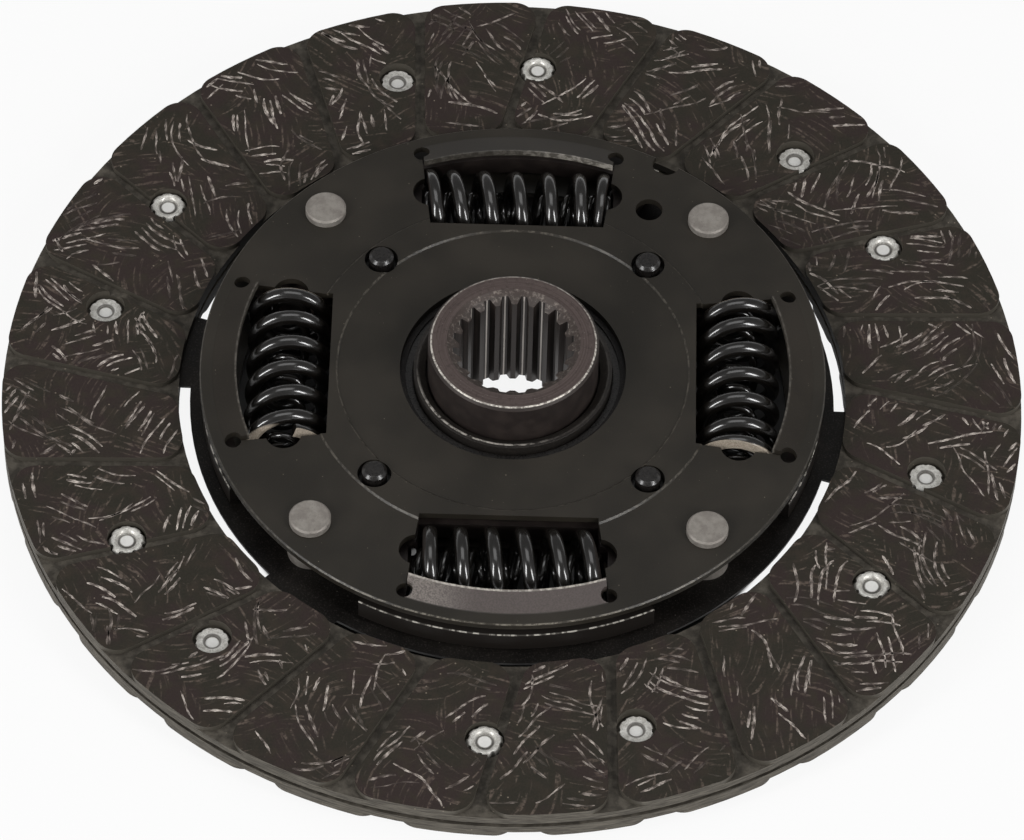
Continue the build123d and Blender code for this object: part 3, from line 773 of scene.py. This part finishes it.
def spline_steel(t, x, y, z, r, angle):
    """Bore of the hub: darker crests and roots, a bright line along each root."""
    streak = t.join(t.times(x, 1.6), t.times(y, 1.6), t.times(z, 0.05))
    streak = t.noise(streak, 1.0, 4.0, 0.65)
    steel = t.mix(t.between(streak, 0.3, 0.7), *BORE_TONES)
    space = t.minus(angle, math.radians(TOOTH_SPACE))
    space = t.size(t.wrap(space, math.pi / TEETH))
    crest = t.between(r, SPLINE_CREST + 0.2, SPLINE_CREST + 0.1)
    crest = t.times(crest, t.between(space, 0.1, 0.11), 0.85)
    steel = t.mix(crest, steel, SPLINE_CREST_TONE)
    root = t.between(r, SPLINE_ROOT - 0.35, SPLINE_ROOT - 0.2)
    steel = t.mix(t.times(root, 0.8), steel, SPLINE_ROOT_TONE)
    line = t.times(t.between(space, 0.016, 0.008), root)
    return t.mix(t.times(line, t.spread(streak, 0.7, 1.0)), steel, SPLINE_LINE)


def hub_steel(name):
    """Dark phosphated forging with machined nose, chamfers and bore."""
    t = Finish(name)
    x, y, z = t.split(t.mm)
    r = t.radius()
    up = t.size(t.normal()[2])
    angle = t.math("ARCTAN2", y, x)
    fine = t.noise(t.mm, 3.0, 4.0, 0.65)
    dark = t.mix(t.between(t.noise(t.mm, 0.3, 3.0), 0.35, 0.7), *FORGED_TONES)
    dark = t.mix(t.spread(t.between(fine, 0.55, 0.8), 0.0, 0.35), dark, FORGED_GRAIN)

    # End faces, turned, with pits and glints
    rings = t.noise(t.join(t.times(r, 4.0), t.times(angle, 0.6), 0.0), 1.0, 4.0, 0.6)
    face = t.mix(t.between(rings, 0.3, 0.7), *NOSE_TONES)
    pits = t.between(t.noise(t.mm, 1.4, 4.0, 0.7), 0.5, 0.7)
    face = t.mix(t.times(pits, 0.5), face, NOSE_PITS)
    glints = t.larger(t.specks(1.3, 0.12, 0.6), t.specks(2.1, 0.12, 0.75))
    face = t.mix(t.times(glints, 0.7), face, NOSE_GLINTS)
    tall = t.size(t.minus(z, HUB_HALF))
    end = t.between(tall, HUB_HALF - 0.8, HUB_HALF - 0.55)
    end = t.times(end, t.between(r, SPLINE_CREST - 0.6, SPLINE_CREST - 0.1))
    colour = t.mix(end, dark, face)

    # Chamfer, and the bright corner inside it: bare steel with a painted highlight, strongest on
    # the near side
    edge = HUB_RADIUS - HUB_CHAMFER
    colour = t.mix(t.times(end, t.between(r, edge, edge + 0.08)), colour, CHAMFER_DARK)
    nicks = t.between(t.noise(t.mm, 1.4, 4.0, 0.7), 0.4, 0.6)
    corner = t.times(end, t.line(r, edge - 0.06, 0.13, 0.08))
    corner = t.times(corner, t.spread(t.between(y, 9.0, -5.0), 0.5, 1.0))
    colour = t.mix(t.times(corner, t.spread(nicks, 0.2, 1.0)), colour, CORNER_BARE_AND_HIGHLIGHT)

    # Flange, with a broken bright line along its upper edge
    flange = t.between(r, FLANGE_RADIUS - 4.0, FLANGE_RADIUS - 3.0)
    colour = t.mix(flange, colour, FLANGE_DARK)
    crown = t.line(z, FLANGE_TOP, 0.14, 0.1)
    crown = t.times(crown, t.between(r, FLANGE_RADIUS - 0.3, FLANGE_RADIUS - 0.15))
    dashes = t.between(t.noise(t.times(angle, 26.0), 1.0, 2.0), 0.46, 0.56)
    colour = t.mix(t.times(crown, t.spread(dashes, 0.1, 0.95)), colour, FLANGE_EDGE)

    # Mouths of the bore, and the splines
    mouth = t.between(r, SPLINE_MOUTH + 0.1, SPLINE_MOUTH - 0.05)
    mouth = t.times(mouth, t.between(up, 0.45, 0.6))
    sparkle = t.between(t.noise(t.mm, 1.3, 3.0, 0.7), 0.5, 0.7)
    colour = t.mix(t.times(mouth, 0.8), colour, MOUTH_TONES[0])
    colour = t.mix(t.times(mouth, sparkle, 0.6), colour, MOUTH_TONES[1])
    bore = t.between(r, SPLINE_MOUTH + 0.2, SPLINE_MOUTH)
    bore = t.times(bore, t.between(up, 0.45, 0.3))
    colour = t.mix(bore, colour, spline_steel(t, x, y, z, r, angle))

    metal = t.larger(t.times(end, 0.35), t.times(bore, 0.45))
    rough = t.minus(t.spread(fine, 0.42, 0.6), t.times(bore, 0.15))
    t.bump(t.plus(fine, t.times(rings, end, 0.8)), 0.02, 0.6, 0.12)
    return t.done(colour, rough, metallic=metal, specular=0.35)


def bush_plastic(name):
    """Dark filled plastic; its edge is pale from wear and a painted highlight, strongest on the
    near side towards the left.
    """
    t = Finish(name)
    x, y, _ = t.split(t.mm)
    fine = t.noise(t.mm, 2.5, 4.0, 0.65)
    colour = t.mix(t.between(fine, 0.35, 0.75), *BUSH_TONES)
    wear_and_highlight_patches = t.between(t.noise(t.mm, 0.7, 4.0, 0.7), 0.36, 0.56)
    # Pale edge: wear with a painted highlight, strongest towards the front left
    lean = t.plus(t.times(x, -0.5), t.times(y, -0.87))
    rub = t.line(t.radius(), BUSH_EDGE, 0.2, 0.14)
    rub = t.times(rub, t.spread(t.between(lean, 9.0, 18.0), 0.05, 1.0))
    colour = t.mix(t.times(rub, wear_and_highlight_patches, 0.9), colour, BUSH_WEAR_AND_HIGHLIGHT)
    colour = t.mix(t.times(t.specks(1.2, 0.1, 0.75), 0.6), colour, BUSH_DUST)
    t.bump(fine, 0.02, 0.5, 0.15)
    return t.done(colour, t.spread(fine, 0.35, 0.55), specular=0.35)


def peg_steel(name):
    """Glossy black pegs and ring."""
    t = Finish(name)
    fine = t.noise(t.mm, 2.0, 4.0, 0.65)
    colour = t.mix(t.between(fine, 0.4, 0.75), *PEG_TONES)
    colour = t.mix(t.times(t.specks(1.4, 0.1, 0.7), 0.6), colour, PEG_DUST)
    t.bump(fine, 0.03, 0.6, 0.3)
    return t.done(colour, t.spread(fine, 0.2, 0.38), specular=0.7)


def blued_steel(name, tones, roughest, metallic):
    """Spring strip and dark rivets."""
    t = Finish(name)
    blot = t.noise(t.mm, 0.12, 4.0)
    fine = t.noise(t.mm, 3.0, 3.0, 0.6)
    colour = t.mix(t.between(blot, 0.35, 0.68), *tones)
    colour = t.mix(t.spread(t.between(fine, 0.5, 0.8), 0.0, 0.4), colour, BLUED_GRAIN)
    colour = t.mix(t.times(t.specks(0.8, 0.1, 0.85), 0.6), colour, BLUED_DUST)
    t.bump(fine, 0.02, 0.5)
    return t.done(colour, t.spread(blot, 0.4, roughest), metallic=metallic, specular=0.3)


def dress(material, *names):
    """Give nodes their finish."""
    for name in names:
        mesh = nodes[name].data
        mesh.materials.clear()
        mesh.materials.append(material)


dress(lining("facing_lining"), "upper_facing", "lower_facing")
dress(plate_paint("plate_paint"), "cover_plate", "drive_plate")
dress(zinc("rivet_zinc"), "facing_rivets_head_up", "facing_rivets_petal_up")
dress(pin_steel("pin_steel"), "stop_pin_1", "stop_pin_2", "stop_pin_3", "stop_pin_4")
dress(hub_steel("hub_steel"), "hub")
dress(bush_plastic("bush_plastic"), "upper_bush", "lower_bush")
dress(peg_steel("peg_steel"), "support_ring")
dress(blued_steel("cushion_steel", CUSHION_TONES, 0.55, 0.2), "cushion_disc")
dress(blued_steel("diaphragm_steel", DIAPHRAGM_TONES, 0.55, 0.3), "diaphragm_spring")
dress(blued_steel("carrier_steel", CARRIER_TONES, 0.6, 0.3), "carrier_rivets")


# Springs shorten along the circle, between the plates' windows and the hub's

def spring_travel(node, angle, half, slope):
    """One end of the spring goes with the hub, the other stays in the plates' window."""
    tree = bpy.data.node_groups.new(node + "_travel", "GeometryNodeTree")
    for way in ("INPUT", "OUTPUT"):
        tree.interface.new_socket("Geometry", in_out=way, socket_type="NodeSocketGeometry")
    t = Nodes(tree)
    place = t.node("GeometryNodeInputPosition").outputs[0]
    x, y, _ = t.split(place)
    c = math.cos(angle)
    s = math.sin(angle)
    out = t.plus(t.times(x, c), t.times(y, s))
    along = t.plus(t.times(x, -s), t.times(y, c))
    reach = t.plus(t.times(t.minus(out, SPRING_CIRCLE * MM), slope), half * MM)
    share = t.math("DIVIDE", along, reach)
    share = t.math("MINIMUM", t.larger(share, -1.0), 1.0)
    hub = t.node("GeometryNodeObjectInfo", transform_space="RELATIVE")
    t.put(frame["bodies"]["hub"], hub.inputs["Object"])
    euler = t.node("FunctionNodeRotationToEuler")
    t.put(hub.outputs["Rotation"], euler.inputs[0])
    twist = t.split(euler.outputs[0])[2]
    turn = t.times(t.minus(twist, t.times(t.size(twist), share)), 0.5)
    moved = t.node("GeometryNodeSetPosition")
    t.put(t.node("NodeGroupInput").outputs[0], moved.inputs["Geometry"])
    t.put(t.turned(place, turn), moved.inputs["Position"])
    t.put(moved.outputs[0], t.node("NodeGroupOutput").inputs[0])
    nodes[node].modifiers.new("travel", "NODES").node_group = tree


for k in range(SPRINGS):
    axis = 1 - k % 2
    angle = math.radians(k * 360.0 / SPRINGS)
    outer_ends = BARE_END_TONES if axis else DARK_END_TONES
    for kind, half, slope, rub, ends in (
        ("outer", SPRING_HALF, SPRING_SLOPE, SPRING_RUB, outer_ends),
        ("inner", INNER_SPRING_HALF, 0.0, INNER_SPRING_RUB, INNER_END_TONES),
    ):
        paint = spring_paint("%s_spring_paint_%d" % (kind, k + 1), axis, half, slope, rub, ends)
        name = "%s_spring_%d" % (kind, k + 1)
        dress(paint, name)
        spring_travel(name, angle, half, slope)

yarn = yarn_finish("facing_yarn")
for name, seed, turned_over in (("upper_facing_yarn", 7, False), ("lower_facing_yarn", 8, True)):
    piece = facing_strands(name, seed, turned_over)
    piece.data.materials.append(yarn)
    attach(piece, "disc")


# Stage: pale floor, white surroundings, soft lamps

# Round masks on the floor, for the shadow painted under the disc and for its bore: centre, then
# the radii where the mask is 0 and 1, in metres
SHADOW = ((0.0, 0.005, 0.0), 0.0595, 0.0625)
NEAR_SHADOW = ((0.0, -0.005, 0.0), 0.0568, 0.0578)
BORE_LIGHT = ((0.0, 0.0, 0.0), 0.0145, 0.0125)
FLOOR_HALF = 6.0
PAINTED_SHADOW_FLOOR = (0.1, 0.1, 0.1, 1.0)
PALE_FLOOR = (0.8, 0.8, 0.8, 1.0)
WHITE = (1.0, 1.0, 1.0, 1.0)
WHITE_SHARE = 0.9
ROOM_LEVEL = 0.2
ROOM_EDGE = (0.06, 0.28)

# Lamps: width and height in metres, power in watts
TOP_LAMP = (0.9, 0.7, 2.9)
SIDE_LAMP = (0.2, 0.7, 7.4)


def floor_masks(t):
    """Floor outside the painted shadow; the same, and also the floor that shows through the
    bore.
    """
    place = t.node("ShaderNodeTexCoord").outputs["Object"]
    shares = []
    for centre, near, far in (SHADOW, NEAR_SHADOW, BORE_LIGHT):
        gap = t.node("ShaderNodeVectorMath", operation="DISTANCE")
        t.put(place, gap.inputs[0])
        t.put(centre, gap.inputs[1])
        shares.append(t.between(gap.outputs["Value"], near, far))
    outside_painted_shadow = t.math("MINIMUM", shares[0], shares[1])
    return outside_painted_shadow, t.larger(outside_painted_shadow, shares[2])


def white_behind(t, shader, seen, share):
    """White for rays that show the background, the plain shader for the rest."""
    rays = t.node("ShaderNodeLightPath").outputs
    shows = t.larger(rays["Is Camera Ray"], rays["Is Glossy Ray"])
    shows = t.larger(shows, rays["Is Transmission Ray"])
    return t.choose(t.times(shows, share), shader, seen)


def set_floor():
    """Pale floor with a painted shadow under the disc, and clear when looked at from below."""
    mesh = bpy.data.meshes.new("floor")
    s = FLOOR_HALF
    mesh.from_pydata([(-s, -s, 0), (s, -s, 0), (s, s, 0), (-s, s, 0)], [], [(0, 1, 2, 3)])
    floor = bpy.data.objects.new("floor", mesh)
    bpy.context.scene.collection.objects.link(floor)
    material = bpy.data.materials.new("pale_floor")
    material.use_nodes = True
    t = Nodes(material.node_tree)
    t.tree.nodes.remove(t.tree.nodes["Principled BSDF"])
    outside_painted_shadow, white_floor = floor_masks(t)
    plain = t.node("ShaderNodeBsdfDiffuse")
    t.put(t.blend(outside_painted_shadow, PAINTED_SHADOW_FLOOR, PALE_FLOOR), plain.inputs["Color"])
    glow = t.node("ShaderNodeEmission")
    t.put(WHITE, glow.inputs["Color"])
    t.put(1.0, glow.inputs["Strength"])
    share = t.times(white_floor, WHITE_SHARE)
    seen = white_behind(t, plain.outputs[0], glow.outputs[0], share)
    below = t.node("ShaderNodeNewGeometry").outputs["Backfacing"]
    clear = t.node("ShaderNodeBsdfTransparent").outputs[0]
    out = t.tree.nodes["Material Output"]
    t.put(t.choose(below, seen, clear), out.inputs["Surface"])
    mesh.materials.append(material)


def set_room():
    """Surroundings: white near the horizon, dimmer above it."""
    world = bpy.data.worlds.new("pale_room")
    bpy.context.scene.world = world
    world.use_nodes = True
    t = Nodes(world.node_tree)
    height = t.split(t.node("ShaderNodeTexCoord").outputs["Generated"])[2]
    level = t.between(height, *ROOM_EDGE, 1.0, ROOM_LEVEL)
    t.put(level, t.tree.nodes["Background"].inputs["Strength"])
    t.put(WHITE, t.tree.nodes["Background"].inputs["Color"])


def lamp(name, place, width, height, power):
    """A soft rectangle of light that faces the disc."""
    data = bpy.data.lights.new(name, "AREA")
    data.shape = "RECTANGLE"
    data.size = width
    data.size_y = height
    data.energy = power
    made = bpy.data.objects.new(name, data)
    bpy.context.scene.collection.objects.link(made)
    made.location = place
    made.rotation_euler = (-Vector(place)).to_track_quat("-Z", "Y").to_euler()


set_floor()
set_room()
lamp("top_lamp", (0.0, 0.1, 1.2), *TOP_LAMP)
lamp("left_lamp", (-0.85, -0.6, 0.62), *SIDE_LAMP)
lamp("right_lamp", (0.8, -0.65, 0.64), *SIDE_LAMP)
bpy.context.scene.view_settings.view_transform = "Standard"
